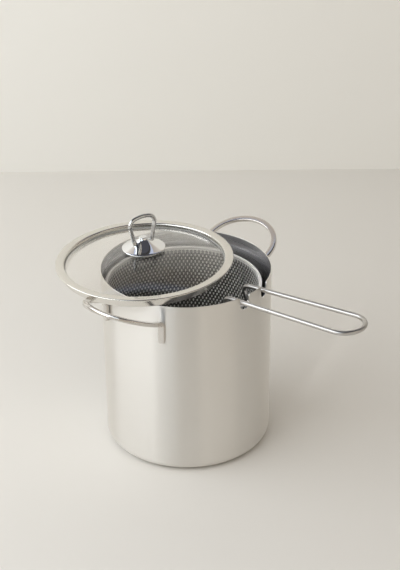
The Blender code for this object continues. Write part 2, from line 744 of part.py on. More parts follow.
def make_knob_fixing(parent):
    inner = SCREW_RADIUS + SEAT_GAP
    steps = 2
    radii = [GLASS_HOLE_RADIUS + (WASHER_RADIUS - GLASS_HOLE_RADIUS) * i / steps
             for i in range(steps + 1)]
    pad_low = glass_under(WASHER_RADIUS) - SEAT_GAP - WASHER_PAD_THICKNESS
    profile = [(r, glass_under(r) - SEAT_GAP) for r in radii]
    profile += [(WASHER_RADIUS, pad_low), (inner, pad_low)]
    profile += [(inner, glass_under(GLASS_HOLE_RADIUS) - SEAT_GAP)]
    finish("washer_pad", turn(profile, PAD_SEGMENTS), silicone("washer_silicone"), parent)
    top = pad_low - SEAT_GAP
    low = top - WASHER_THICKNESS
    washer = [(inner, top), (WASHER_RADIUS, top), (WASHER_RADIUS, low), (inner, low)]
    finish("knob_washer", turn(washer, PAD_SEGMENTS), polished_steel("washer_steel"), parent)
    head_top = low - SEAT_GAP
    head_low = head_top - SCREW_HEAD_HEIGHT
    shank_top = KNOB_FOOT + KNOB_BORE_DEPTH - SEAT_GAP
    edge = SCREW_HEAD_HEIGHT * 0.25
    screw = [(0.0, shank_top), (SCREW_RADIUS, shank_top), (SCREW_RADIUS, head_top)]
    screw += [(SCREW_HEAD_RADIUS, head_top), (SCREW_HEAD_RADIUS, head_low + edge)]
    screw += [(SCREW_HEAD_RADIUS - edge, head_low), (0.0, head_low)]
    body = finish("knob_screw", turn(screw, SCREW_SEGMENTS, closed=False),
                  polished_steel("screw_steel"), parent)
    bm = bmesh.new()
    bmesh.ops.create_cone(
        bm, cap_ends=True, segments=6, radius1=SCREW_SOCKET_RADIUS,
        radius2=SCREW_SOCKET_RADIUS, depth=2 * SCREW_SOCKET_DEPTH,
        matrix=Matrix.Translation((0, 0, head_low)))
    cut(body, cutter("screw_socket_cutter", bm, parent))


def lid_frame():
    """Place of the lid: its skirt lies on the pot's rim and on the left side handle."""
    direction = Vector((math.cos(LID_SHIFT_ANGLE), math.sin(LID_SHIFT_ANGLE), 0.0))
    skirt_low = LID_SKIRT_INSIDE
    # furthest point along the shift where the skirt still lies over the rim
    rim_contact = (LID_SHIFT / 2.0
                   + (POT_RADIUS ** 2 - skirt_low ** 2) / (2.0 * LID_SHIFT))
    rim_level = POT_HEIGHT + SEAT_GAP
    half_bar = SIDE_BAR_WIDTH / 2.0
    slope = math.tan(LID_TILT_LIMIT)
    left_turn = Matrix.Rotation(SIDE_LEFT_TURN, 3, "Z")
    for point, across, up in full_side_path():
        for offset in (-half_bar, 0.0, half_bar):
            spot = point + across * offset + up * (SIDE_BAR_THICKNESS / 2.0)
            spot.rotate(left_turn)
            beyond = spot.dot(direction) - rim_contact
            off_centre = (Vector((spot.x, spot.y, 0.0)) - direction * LID_SHIFT).length
            if beyond <= 0.0 or not LID_SKIRT_INSIDE <= off_centre <= LID_RADIUS:
                continue
            room = rim_level - spot.z - SEAT_GAP
            if off_centre > LID_SKIRT_RADIUS + SIDE_BAR_WIDTH / 4.0:
                room += LID_SKIRT_DEPTH - LID_FLANGE_THICKNESS
            slope = min(slope, room / beyond)
    centre_level = rim_level + LID_SKIRT_DEPTH - slope * (LID_SHIFT - rim_contact)
    tilt_axis = Vector((0, 0, 1)).cross(direction)
    tilt = Matrix.Rotation(math.atan(slope), 4, tilt_axis)
    return direction * LID_SHIFT + Vector((0, 0, centre_level)), tilt


def main():
    clear_scene()
    make_pot_body()
    make_base()
    make_side_handles()
    basket = empty("basket_lift", (*BASKET_SHIFT, 0.0))
    make_basket_wall(basket)
    make_basket_rim(basket)
    make_basket_floor(basket)
    make_basket_handle(basket)
    place, tilt = lid_frame()
    lid = empty("lid_lift", place, tilt)
    make_lid_rim(lid)
    make_lid_glass(lid)
    make_glass_seal(lid)
    make_knob_pad(lid)
    make_knob_base(lid)
    make_knob_loop(lid)
    make_knob_fixing(lid)


main()
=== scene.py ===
import math

import bmesh
import bpy
from mathutils import Matrix, Vector


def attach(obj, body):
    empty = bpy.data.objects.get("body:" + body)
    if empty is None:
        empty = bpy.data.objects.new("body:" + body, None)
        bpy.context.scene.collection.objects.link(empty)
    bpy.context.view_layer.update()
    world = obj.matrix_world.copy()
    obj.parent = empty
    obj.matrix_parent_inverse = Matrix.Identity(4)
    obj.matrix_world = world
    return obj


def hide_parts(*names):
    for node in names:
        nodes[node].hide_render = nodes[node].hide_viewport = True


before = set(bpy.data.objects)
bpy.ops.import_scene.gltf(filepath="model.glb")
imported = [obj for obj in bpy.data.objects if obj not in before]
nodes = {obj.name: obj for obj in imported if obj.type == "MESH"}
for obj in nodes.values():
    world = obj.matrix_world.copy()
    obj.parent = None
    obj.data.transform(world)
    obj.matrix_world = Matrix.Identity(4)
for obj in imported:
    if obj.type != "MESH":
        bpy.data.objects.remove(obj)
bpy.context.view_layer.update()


# Sizes, by the names and values of the CAD source

SEAT_GAP = 0.0003
POT_BORE_RADIUS = 0.090
POT_WALL = 0.0010
POT_RADIUS = POT_BORE_RADIUS + POT_WALL
POT_HEIGHT = 0.202
POT_CORNER_RADIUS = 0.009
BASE_STAND_OFF = 0.0020
BASE_RECESS_HEIGHT = 0.0055
BASE_CAP_MARGIN = 0.0155
BASE_CAP_CLEARANCE = 0.0010
BASE_CAP_RADIUS = POT_RADIUS - BASE_CAP_MARGIN
BASE_RECESS_RADIUS = BASE_CAP_RADIUS + BASE_CAP_CLEARANCE
BASE_RECESS_SLOPE = 0.0015
POT_FLOOR = BASE_RECESS_HEIGHT + POT_WALL
NOTCH_SPACING = 0.0334
NOTCH_WIDTH = 0.0123
NOTCH_DEPTH = 0.0150
NOTCH_LIP_RADIUS = 0.0025
NOTCH_CUTTER_START = 0.0050
NOTCH_CUTTER_DEPTH = 0.0200
SIDE_BAR_WIDTH = 0.0066
SIDE_BAR_THICKNESS = 0.0044
SIDE_RIGHT_TURN = math.radians(2.0)
SIDE_LEFT_TURN = math.radians(178.5)
SIDE_REACH = 0.0440
SIDE_LEG_ANGLE = math.radians(24.0)
SIDE_ARC_OVERRUN = math.radians(14.0)
SIDE_RISE = math.radians(23.4)
SIDE_ROOT_DROP = 0.0164
SIDE_BEND_RADIUS = 0.0085
SIDE_LEG_END_DROP = 0.0405
BASKET_SHIFT = (-0.0030, 0.0014)
BASKET_CLEARANCE = 0.0088
BASKET_RADIUS = POT_BORE_RADIUS - BASKET_CLEARANCE
BASKET_SHEET = 0.0007
BASKET_RIM_DROP = 0.0157
BASKET_RIM_BEAD = 0.0037
BASKET_RIM_CENTRE_OFFSET = 0.0009
BASKET_BOTTOM = POT_FLOOR + SEAT_GAP
BASKET_RIM_HEIGHT = POT_HEIGHT - BASKET_RIM_DROP
BASKET_FLOOR_LIP = 0.0062
BASKET_FLOOR_SHEET = 0.0008
BASKET_FLOOR_CORNER = 0.0030
HOLES_AROUND = 30
BASKET_INSIDE = (BASKET_RADIUS - BASKET_SHEET) * math.cos(math.pi / (2 * HOLES_AROUND))
WIRE_DIAMETER = 0.0050
WIRE_ROOT_SPACING = 0.0338
WIRE_END_SPACING = 0.0408
WIRE_WALL_DROP = 0.0058
WIRE_RISE = math.radians(2.9)
WIRE_REACH = 0.1330
WIRE_BEND_RADIUS = 0.0060
WIRE_LEG_INSET = 0.0075
WIRE_LEG_LEAN = math.radians(20.0)
WIRE_FOOT_LENGTH = 0.0070
LID_SHIFT_ANGLE = math.radians(127.5)
LID_OVERLAP = 0.0046
LID_BAND_WIDTH = 0.0093
LID_RADIUS = POT_BORE_RADIUS + LID_OVERLAP
LID_BAND_INNER_RADIUS = LID_RADIUS - LID_BAND_WIDTH
LID_FLANGE_THICKNESS = 0.0020
LID_BAND_SHEET = 0.0009
LID_SKIRT_CLEARANCE = 0.0011
LID_SKIRT_RADIUS = POT_BORE_RADIUS - LID_SKIRT_CLEARANCE
LID_SKIRT_INSIDE = LID_SKIRT_RADIUS - LID_BAND_SHEET
LID_SKIRT_DEPTH = 0.0106
GLASS_THICKNESS = 0.0035
GLASS_EDGE_DROP = 0.0059
GLASS_DOME_RADIUS = 0.2280
GLASS_HOLE_RADIUS = 0.0040
GLASS_EDGE_CLEARANCE = 0.0010
GLASS_RADIUS = LID_SKIRT_INSIDE - GLASS_EDGE_CLEARANCE
SEAL_LIP = 0.0005
KNOB_BASE_RADIUS = 0.0230
KNOB_BASE_EDGE = 0.0009
KNOB_TOP_RADIUS = 0.0046
KNOB_HEIGHT = 0.0127
KNOB_BORE_DEPTH = 0.0091
KNOB_FLARE_TOP = 0.0115
KNOB_SOCKET_HEIGHT = 0.0052
KNOB_SOCKET_FLOOR = 0.0038
KNOB_LOOP_ANGLE = math.radians(162.0)
KNOB_LOOP_WIRE = 0.0044
KNOB_LOOP_HALF_WIDTH = 0.0150
KNOB_LOOP_HEIGHT = 0.0307
KNOB_LOOP_MOUTH = 0.0075
KNOB_LOOP_BEND = 0.0034
KNOB_LOOP_LEAN = math.radians(66.0)
PAD_THICKNESS = 0.0005
SCREW_RADIUS = 0.0025

# The lid lies tilted on the rim: the centre of its flange's top and its tilt, as the CAD
# source works them out
LID_CENTRE = Vector((-0.026907, 0.035066, 0.212411))
LID_TILT = math.radians(1.7454)


# Sizes and counts of the looks, mostly finer than the CAD source's

ROUND_SEGMENTS = 192
GLASS_SEGMENTS = 160
KNOB_SEGMENTS = 128
FLOOR_SEGMENTS = 180
WIRE_SIDES = 24
SOCKET_SIDES = 40
SHARP_ANGLE = 35.0
MERGE_DISTANCE = 1e-6
SIDE_BAR_EDGE = 0.0012
BASKET_RIM_EDGE = 0.0018
WALL_IN_RIM = 0.0002
BASKET_WALL_TOP = BASKET_RIM_HEIGHT - BASKET_RIM_BEAD + WALL_IN_RIM
LID_BAND_ROUND = 0.0017
LID_SKIRT_FOLD = 0.0006
GLASS_EDGE_BEVEL = 0.0006
KNOB_FLARE_POWER = 1.6
KNOB_TOP_ROUND = 0.0010

# Points of the knob's loop, in shares of its half width and its height
KNOB_LOOP_SHAPE = ((0.84, 0.34), (0.97, 0.60), (0.98, 0.79), (0.72, 0.94), (0.30, 0.99))

# Perforation of the real sheet: columns, counted twice as each row is staggered, and webs
HOLE_COLUMNS = 232
HOLE_ROW_STEP = 0.00381
HOLE_UPRIGHT_WEB = 0.0013
HOLE_SLANT_WEB = 0.0004
WALL_PLAIN_FOOT = 0.0020
WALL_PLAIN_TOP = 0.0003
FLOOR_HOLE_PITCH = 0.0044
FLOOR_HOLE_RADIUS = 0.0016
FLOOR_HOLE_SIDES = 8
FLOOR_PLAIN_EDGE = 0.0020


# Mesh helpers

def link_mesh(name, bm, mats):
    """Turn a bmesh into an object of the scene."""
    mesh = bpy.data.meshes.new(name)
    bm.to_mesh(mesh)
    bm.free()
    for mat in mats:
        mesh.materials.append(mat)
    thing = bpy.data.objects.new(name, mesh)
    bpy.context.scene.collection.objects.link(thing)
    return thing


def add_piece(name, bm, mats, place=None, sharp=SHARP_ANGLE):
    """Object with outward normals, smooth but for its sharp edges."""
    bmesh.ops.recalc_face_normals(bm, faces=bm.faces)
    thing = link_mesh(name, bm, mats)
    thing.data.shade_smooth()
    thing.data.set_sharp_from_angle(angle=math.radians(sharp))
    if place is not None:
        thing.matrix_world = place
    return thing


def arc(centre, radius, start, end, steps):
    """Points on an arc between two angles in degrees."""
    points = []
    for i in range(steps + 1):
        a = math.radians(start + (end - start) * i / steps)
        points.append((centre[0] + radius * math.cos(a), centre[1] + radius * math.sin(a)))
    return points


def turn(profile, segments, closed=True):
    """Spin a profile of radii and heights round the vertical axis."""
    bm = bmesh.new()
    verts = [bm.verts.new((r, 0.0, z)) for r, z in profile]
    edges = [bm.edges.new(pair) for pair in zip(verts, verts[1:])]
    if closed:
        edges.append(bm.edges.new((verts[-1], verts[0])))
    bmesh.ops.spin(bm, geom=verts + edges, cent=(0, 0, 0), axis=(0, 0, 1),
                   angle=math.tau, steps=segments, use_merge=True)
    bmesh.ops.remove_doubles(bm, verts=bm.verts, dist=MERGE_DISTANCE)
    return bm


def prism(outline, depth):
    """Extrude an upright outline towards +Y."""
    bm = bmesh.new()
    face = bm.faces.new([bm.verts.new((x, 0.0, z)) for x, z in outline])
    made = bmesh.ops.extrude_face_region(bm, geom=[face])
    moved = [v for v in made["geom"] if isinstance(v, bmesh.types.BMVert)]
    bmesh.ops.translate(bm, verts=moved, vec=(0.0, depth, 0.0))
    return bm


def sweep(path, section):
    """Closed bar along a path of points, each with its own across and up."""
    sides = len(section)
    bm = bmesh.new()
    rings = []
    for point, across, up in path:
        rings.append([bm.verts.new(point + across * u + up * v) for u, v in section])
    for ring, following in zip(rings, rings[1:]):
        for k in range(sides):
            n = (k + 1) % sides
            bm.faces.new((ring[k], ring[n], following[n], following[k]))
    bm.faces.new(rings[0])
    bm.faces.new(rings[-1])
    return bm


def wire_tube(points, diameter, sides=WIRE_SIDES):
    """Round wire through points, without twist."""
    frames = []
    last = len(points) - 1
    across = None
    for i, point in enumerate(points):
        tangent = (points[min(i + 1, last)] - points[max(i - 1, 0)]).normalized()
        if across is None:
            across = tangent.orthogonal().normalized()
        across = (across - tangent * across.dot(tangent)).normalized()
        frames.append((point, across, tangent.cross(across)))
    radius = diameter / 2.0
    section = [(radius * math.cos(math.tau * k / sides), radius * math.sin(math.tau * k / sides))
               for k in range(sides)]
    return sweep(frames, section)


def rounded_bar(width, thickness, edge, steps=5):
    """Outline of a flat bar with small round edges."""
    w = width / 2.0 - edge
    t = thickness / 2.0 - edge
    points = []
    for cx, cy, start in ((w, -t, -90), (w, t, 0), (-w, t, 90), (-w, -t, 180)):
        points += arc((cx, cy), edge, start, start + 90, steps)
    return points


def apply_modifiers(thing, sharp):
    """Keep what the modifiers make of a piece as its plain mesh."""
    graph = bpy.context.evaluated_depsgraph_get()
    mesh = bpy.data.meshes.new_from_object(thing.evaluated_get(graph))
    thing.modifiers.clear()
    thing.data = mesh
    mesh.set_sharp_from_angle(angle=math.radians(sharp))


def carve(thing, tools, solver="EXACT"):
    """Cut the tools out of a piece and remove them."""
    for tool in tools:
        modifier = thing.modifiers.new(tool.name, "BOOLEAN")
        modifier.operation = "DIFFERENCE"
        modifier.solver = solver
        modifier.object = tool
    apply_modifiers(thing, SHARP_ANGLE)
    for tool in tools:
        bpy.data.objects.remove(tool)


def thicken(thing, thickness, offset=1.0, sharp=40.0):
    """Give a sheet its thickness; a sharp angle of 180 rounds every edge in the shading."""
    sheet = thing.modifiers.new("sheet", "SOLIDIFY")
    sheet.thickness = thickness
    sheet.offset = offset
    sheet.use_even_offset = False
    apply_modifiers(thing, sharp)


# Materials

NOISE_LOW = 0.3
NOISE_HIGH = 0.7
RING_DRIFT = 14.0
BRUSH_ROTATION = 0.25
BRUSH_FINENESS = 900.0
BRUSH_DEPTH = 0.00005
CLOUD_SCALE = 18.0
SMUDGE_SCALE = 60.0
MARK_STRETCH = (500.0, 500.0, 90.0)
MARK_DEPTH = 0.00004
RUBBER_GRAIN_SCALE = 900.0
RUBBER_GRAIN_DEPTH = 0.0001
RUBBER_BUMP = 0.1
RUBBER_ROUGHNESS = (0.5, 0.7)
HAZE_SCALE = 35.0
HAZE_MOST = 0.015
GLASS_IOR = 1.5
GLASS_SHADOW = (0.92, 0.92, 0.92)


class Nodes:
    """A small builder for one material's node tree."""

    def __init__(self, name):
        self.mat = bpy.data.materials.new(name)
        self.mat.use_nodes = True
        self.tree = self.mat.node_tree
        self.shader = self.tree.nodes["Principled BSDF"]
        self.output = self.tree.nodes["Material Output"]

    def add(self, kind, **values):
        node = self.tree.nodes.new(kind)
        for key, value in values.items():
            setattr(node, key, value)
        return node

    def link(self, source, target):
        self.tree.links.new(source, target)

    def feed(self, source, name):
        """Link an output to one of the shader's sockets."""
        self.link(source, self.shader.inputs[name])

    def set(self, **values):
        for key, value in values.items():
            self.shader.inputs[key.replace("_", " ")].default_value = value

    def noise(self, vector, scale, detail=3.0, rough=0.55):
        node = self.add("ShaderNodeTexNoise")
        node.inputs["Scale"].default_value = scale
        node.inputs["Detail"].default_value = detail
        node.inputs["Roughness"].default_value = rough
        self.link(vector, node.inputs["Vector"])
        return node.outputs["Fac"]

    def map_range(self, value, smooth=False, **limits):
        """Map a value; the limits are named as the node's sockets are."""
        kind = "SMOOTHSTEP" if smooth else "LINEAR"
        node = self.add("ShaderNodeMapRange", interpolation_type=kind)
        for key, number in limits.items():
            node.inputs[key.replace("_", " ")].default_value = number
        self.link(value, node.inputs["Value"])
        return node.outputs["Result"]

    def span(self, noise, low, high):
        """Spread the band that most noise lies in between two values."""
        return self.map_range(noise, From_Min=NOISE_LOW, From_Max=NOISE_HIGH,
                              To_Min=low, To_Max=high)

    def place(self):
        return self.add("ShaderNodeTexCoord").outputs["Object"]

    def place_parts(self):
        parts = self.add("ShaderNodeSeparateXYZ")
        self.link(self.place(), parts.inputs["Vector"])
        return parts.outputs

    def stretched(self, scale=(1.0, 1.0, 1.0)):
        """Object coordinates, stretched where noise is to lie in lines."""
        mapping = self.add("ShaderNodeMapping")
        mapping.inputs["Scale"].default_value = scale
        self.link(self.place(), mapping.inputs["Vector"])
        return mapping.outputs["Vector"]

    def reach(self, vector):
        node = self.add("ShaderNodeVectorMath", operation="LENGTH")
        self.link(vector, node.inputs[0])
        return node.outputs["Value"]

    def rings(self, fine):
        """Coordinates that change fast outwards and upwards but hardly round the axis."""
        flat = self.add("ShaderNodeVectorMath", operation="MULTIPLY")
        flat.inputs[1].default_value = (1.0, 1.0, 0.0)
        self.link(self.place(), flat.inputs[0])
        parts = self.place_parts()
        out = self.add("ShaderNodeCombineXYZ")
        for source, factor, target in (
                (self.reach(flat.outputs["Vector"]), fine, "X"),
                (parts["Z"], fine, "Y"), (parts["X"], RING_DRIFT, "Z")):
            grown = self.add("ShaderNodeMath", operation="MULTIPLY")
            grown.inputs[1].default_value = factor
            self.link(source, grown.inputs[0])
            self.link(grown.outputs["Value"], out.inputs[target])
        return out.outputs["Vector"]

    def height_share(self, low, high):
        """0 below the first height and 1 above the second."""
        return self.map_range(self.place_parts()["Z"], smooth=True, From_Min=low, From_Max=high)

    def tint(self, value, first, second):
        node = self.add("ShaderNodeMix", data_type="RGBA")
        colours = {"A": first, "B": second}
        for socket in node.inputs:
            if socket.type == "RGBA":
                socket.default_value = (*colours[socket.name], 1.0)
        self.link(value, node.inputs["Factor"])
        self.feed([s for s in node.outputs if s.type == "RGBA"][0], "Base Color")

    def bump(self, value, strength, distance):
        node = self.add("ShaderNodeBump")
        node.inputs["Strength"].default_value = strength
        node.inputs["Distance"].default_value = distance
        self.link(value, node.inputs["Height"])
        self.feed(node.outputs["Normal"], "Normal")

    def tangent(self):
        node = self.add("ShaderNodeTangent", direction_type="RADIAL", axis="Z")
        self.feed(node.outputs["Tangent"], "Tangent")

    def clear_where(self, share, colour=(1.0, 1.0, 1.0)):
        """Let light straight through where the share is 1."""
        clear = self.add("ShaderNodeBsdfTransparent")
        clear.inputs["Color"].default_value = (*colour, 1.0)
        mix = self.add("ShaderNodeMixShader")
        self.link(share, mix.inputs["Fac"])
        self.link(self.shader.outputs["BSDF"], mix.inputs[1])
        self.link(clear.outputs["BSDF"], mix.inputs[2])
        self.link(mix.outputs["Shader"], self.output.inputs["Surface"])


def brushed_steel(name, first, second, low, high, anisotropic, bump=0.06, between=None):
    """Steel brushed round the vertical axis, clouded, or else with painted shade: its first
    colour below two heights and its second above.
    """
    m = Nodes(name)
    m.set(Metallic=1.0, Anisotropic=anisotropic, Anisotropic_Rotation=BRUSH_ROTATION)
    lines = m.noise(m.rings(BRUSH_FINENESS), 1.0, 4.0, 0.6)
    m.feed(m.span(lines, low, high), "Roughness")
    if between is None:
        share = m.noise(m.stretched(), CLOUD_SCALE)
    else:
        share = m.height_share(*between)
    m.tint(share, first, second)
    m.bump(lines, bump, BRUSH_DEPTH)
    m.tangent()
    return m.mat


def polished_metal(name, first, second, low, high, bump=0.02, metallic=1.0):
    """Polished metal with faint polishing marks and handling smudges."""
    m = Nodes(name)
    m.set(Metallic=metallic)
    smudges = m.noise(m.stretched(), SMUDGE_SCALE, 4.0)
    marks = m.noise(m.stretched(MARK_STRETCH), 1.0, 2.0)
    m.feed(m.span(smudges, low, high), "Roughness")
    m.tint(smudges, first, second)
    m.bump(marks, bump, MARK_DEPTH)
    return m.mat


def soft_rubber(name, first, second):
    m = Nodes(name)
    m.set(Metallic=0.0)
    grain = m.noise(m.stretched(), RUBBER_GRAIN_SCALE, 2.0)
    m.feed(m.span(grain, *RUBBER_ROUGHNESS), "Roughness")
    m.tint(grain, first, second)
    m.bump(grain, RUBBER_BUMP, RUBBER_GRAIN_DEPTH)
    return m.mat


def clear_glass(name, first, second):
    """Clear glass that lets the light of lamps through."""
    m = Nodes(name)
    m.set(IOR=GLASS_IOR, Transmission_Weight=1.0)
    haze = m.noise(m.stretched(), HAZE_SCALE)
    m.feed(m.span(haze, 0.0, HAZE_MOST), "Roughness")
    m.tint(haze, first, second)
    m.clear_where(m.add("ShaderNodeLightPath").outputs["Is Shadow Ray"], GLASS_SHADOW)
    return m.mat


# Each metal has its two colours, its least and most roughness and, where brushed, its grain
POT_STEEL = brushed_steel(
    "pot_brushed", (0.83, 0.81, 0.775), (0.86, 0.84, 0.81), 0.29, 0.34, 1.0, bump=0.012)
# The inside's colour is painted shade: near black deep in the pot, turning to pale bluish steel
# just under the rim
INNER_STEEL_PAINTED_SHADE = brushed_steel(
    "pot_inside_brushed_painted_shade", (0.20, 0.195, 0.19), (0.94, 0.94, 0.98), 0.26, 0.30, 0.55,
    bump=0.003, between=(0.165, 0.192))
CAP_STEEL = brushed_steel(
    "cap_brushed", (0.66, 0.64, 0.61), (0.71, 0.69, 0.66), 0.28, 0.36, 0.5)
LID_STEEL = brushed_steel(
    "lid_band_brushed", (0.74, 0.72, 0.68), (0.78, 0.76, 0.72), 0.14, 0.20, 0.4, bump=0.03)
BASKET_STEEL = polished_metal(
    "basket_sheet", (0.76, 0.75, 0.73), (0.81, 0.80, 0.78), 0.40, 0.46, bump=0.01,
    metallic=0.15)
# The slanted webs get a dark copy of the sheet's steel: painted shade, so that the upright webs
# stand out as bright dashes
WEB_STEEL_PAINTED_SHADE = polished_metal(
    "basket_sheet_webs_painted_shade", (0.19, 0.183, 0.178), (0.22, 0.213, 0.208), 0.20, 0.26, bump=0.01)
FLOOR_STEEL = brushed_steel(
    "basket_floor_sheet", (0.70, 0.69, 0.68), (0.75, 0.74, 0.73), 0.24, 0.32, 0.2, bump=0.02)
RIM_STEEL = polished_metal(
    "basket_rim_polished", (0.76, 0.75, 0.74), (0.80, 0.79, 0.78), 0.28, 0.34, metallic=0.2)
BAR_STEEL = polished_metal(
    "bar_polished", (0.69, 0.665, 0.64), (0.73, 0.705, 0.68), 0.12, 0.16, bump=0.003)
WIRE_STEEL = polished_metal(
    "wire_polished", (0.53, 0.515, 0.50), (0.58, 0.565, 0.55), 0.26, 0.32, bump=0.003)
KNOB_CHROME = polished_metal(
    "knob_chrome_fine", (0.88, 0.89, 0.90), (0.91, 0.92, 0.93), 0.02, 0.05, bump=0.005)
# The loop's chrome is darker than the bell's: painted shade that stands in for the dark
# surroundings it reflects
LOOP_CHROME_PAINTED_SHADE = polished_metal(
    "loop_chrome_painted_shade", (0.60, 0.605, 0.61), (0.66, 0.665, 0.67), 0.04, 0.07, bump=0.003)
SCREW_STEEL = polished_metal(
    "screw_polished", (0.72, 0.72, 0.71), (0.78, 0.78, 0.77), 0.12, 0.20)
CORE_METAL = polished_metal(
    "core_cast", (0.74, 0.75, 0.76), (0.80, 0.81, 0.82), 0.38, 0.50, bump=0.1)
SEAL_RUBBER = soft_rubber("seal_rubber", (0.50, 0.50, 0.49), (0.56, 0.56, 0.55))
PAD_RUBBER = soft_rubber("pad_rubber", (0.40, 0.40, 0.40), (0.46, 0.46, 0.46))
GLASS = clear_glass("lid_clear_glass", (0.93, 0.92, 0.90), (0.95, 0.94, 0.92))


def finish_piece(thing, body, slot, *replaced):
    """Say what a piece rides on and the CAD pieces it stands in for; its material slot is not
    used.
    """
    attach(thing, body)
    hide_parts(*replaced)


# Pot

def shade_inside(pot):
    """Give the floor and the bore, up to the rim's round, the inner steel with its painted shade.
    """
    for face in pot.data.polygons:
        centre = face.center
        inward = face.normal.x * centre.x + face.normal.y * centre.y < 0.0
        level = face.normal.z > 0.5
        within = math.hypot(centre.x, centre.y) < POT_RADIUS
        if (inward or level) and within:
            if POT_FLOOR - POT_WALL / 2.0 < centre.z < POT_HEIGHT - POT_WALL:
                face.material_index = 1


def make_pot():
    corner = POT_CORNER_RADIUS
    low = BASE_STAND_OFF
    foot = BASE_RECESS_RADIUS + BASE_RECESS_SLOPE
    half_wall = POT_WALL / 2.0
    bend = (POT_RADIUS - corner, low + corner)
    profile = [(0.0, BASE_RECESS_HEIGHT), (BASE_RECESS_RADIUS, BASE_RECESS_HEIGHT), (foot, low)]
    profile += arc(bend, corner, -90, 0, 14)
    profile += arc((POT_RADIUS - half_wall, POT_HEIGHT - half_wall), half_wall, 0, 180, 8)
    profile += arc(bend, corner - POT_WALL, 0, -90, 14)
    profile += [(foot + half_wall, low + POT_WALL),
                (BASE_RECESS_RADIUS + half_wall, POT_FLOOR), (0.0, POT_FLOOR)]
    pot = add_piece("pot_shell", turn(profile, ROUND_SEGMENTS, closed=False),
                    [POT_STEEL, INNER_STEEL_PAINTED_SHADE])
    half = NOTCH_WIDTH / 2.0
    lip = NOTCH_LIP_RADIUS
    above = POT_HEIGHT + lip
    outline = arc((0.0, POT_HEIGHT - NOTCH_DEPTH + half), half, 180, 360, 28)
    outline += arc((half + lip, POT_HEIGHT - lip), lip, 180, 90, 8)
    outline += [(half + lip, above), (-half - lip, above)]
    outline += arc((-half - lip, POT_HEIGHT - lip), lip, 90, 0, 8)
    tools = []
    for side in (-1, 1):
        place = Matrix.Translation(
            (side * NOTCH_SPACING / 2.0, -POT_RADIUS - NOTCH_CUTTER_START, 0.0))
        tools.append(add_piece("notch_%d" % side, prism(outline, NOTCH_CUTTER_DEPTH), [], place))
    carve(pot, tools)
    shade_inside(pot)
    finish_piece(pot, "pot", "pot_steel", "pot_body")


# Side handles

def side_path(bend_steps=12, arc_steps=48, rounds=20):
    """Points of a side handle; the bend's heading settles within the rounds."""
    leg_radius = POT_RADIUS + SEAT_GAP + SIDE_BAR_THICKNESS / 2.0
    wall_out = Vector((math.cos(SIDE_LEG_ANGLE), math.sin(SIDE_LEG_ANGLE), 0.0))
    wall_across = Vector((-wall_out.y, wall_out.x, 0.0))
    foot = wall_out * leg_radius
    bend_in = SIDE_BEND_RADIUS * (1.0 - math.sin(SIDE_RISE))
    bend_drop = SIDE_BEND_RADIUS * math.cos(SIDE_RISE)
    reach = POT_RADIUS + SIDE_REACH
    over = SIDE_ARC_OVERRUN
    heading = over
    for _ in range(rounds):
        outward = Vector((math.cos(heading), math.sin(heading), 0.0))
        start = foot + outward * bend_in
        depth = (reach - start.x) / (1.0 + math.sin(over))
        width = start.y / math.cos(over)
        heading = math.atan2(width * math.sin(over), depth * math.cos(over))
    centre_x = reach - depth
    root_height = POT_HEIGHT - SIDE_ROOT_DROP
    slope = math.tan(SIDE_RISE)

    def on_plane(x, y):
        return Vector((x, y, root_height + (x - POT_RADIUS) * slope))

    start_point = on_plane(start.x, start.y)
    leg_top = start_point.z - bend_drop
    leg_end = POT_HEIGHT - SIDE_LEG_END_DROP
    half = [(Vector((foot.x, foot.y, leg_end)), wall_across, -wall_out),
            (Vector((foot.x, foot.y, leg_top)), wall_across, -wall_out)]
    for i in range(1, bend_steps):
        share = i / bend_steps
        turned = math.pi / 2 - (math.pi / 2 - SIDE_RISE) * share
        out = wall_out.lerp(outward, share).normalized()
        across = Vector((-out.y, out.x, 0.0))
        point = start_point - outward * SIDE_BEND_RADIUS * (
            math.sin(turned) - math.sin(SIDE_RISE))
        point.z = start_point.z - SIDE_BEND_RADIUS * (math.cos(SIDE_RISE) - math.cos(turned))
        up = Vector((0, 0, math.cos(turned))) - out * math.sin(turned)
        half.append((point, across, up))
    plane_up = Vector((-math.sin(SIDE_RISE), 0.0, math.cos(SIDE_RISE)))
    for i in range(arc_steps + 1):
        angle = (math.pi / 2 + over) * (1.0 - i / arc_steps)
        point = on_plane(centre_x + depth * math.cos(angle), width * math.sin(angle))
        tangent = Vector((depth * math.sin(angle), -width * math.cos(angle), 0.0))
        tangent.z = tangent.x * slope
        tangent.normalize()
        half.append((point, plane_up.cross(tangent).normalized(), plane_up))
    mirrored = []
    for point, across, up in reversed(half[:-1]):
        mirrored.append((Vector((point.x, -point.y, point.z)),
                         Vector((across.x, -across.y, across.z)),
                         Vector((up.x, -up.y, up.z))))
    return half + mirrored


def make_side_handles():
    section = rounded_bar(SIDE_BAR_WIDTH, SIDE_BAR_THICKNESS, SIDE_BAR_EDGE)
    for name, angle in (("side_handle_right", SIDE_RIGHT_TURN),
                        ("side_handle_left", SIDE_LEFT_TURN)):
        bm = sweep(side_path(), section)
        bmesh.ops.rotate(bm, verts=bm.verts, cent=(0, 0, 0),
                         matrix=Matrix.Rotation(angle, 3, "Z"))
        bar = add_piece(name + "_bar", bm, [BAR_STEEL], sharp=50.0)
        finish_piece(bar, "pot", name + "_steel", name)


# Basket

BASKET_PLACE = Matrix.Translation((*BASKET_SHIFT, 0.0))


def round_of_verts(bm, centre, radius, height, count):
    return [bm.verts.new((centre[0] + radius * math.cos(math.tau * k / count),
                          centre[1] + radius * math.sin(math.tau * k / count), height))
            for k in range(count)]


def six_corners(half_width, side, tip):
    """Corners of an upright hexagon, from the upper right round to the lower right."""
    return ((half_width, side), (0.0, tip), (-half_width, side),
            (-half_width, -side), (0.0, -tip), (half_width, -side))


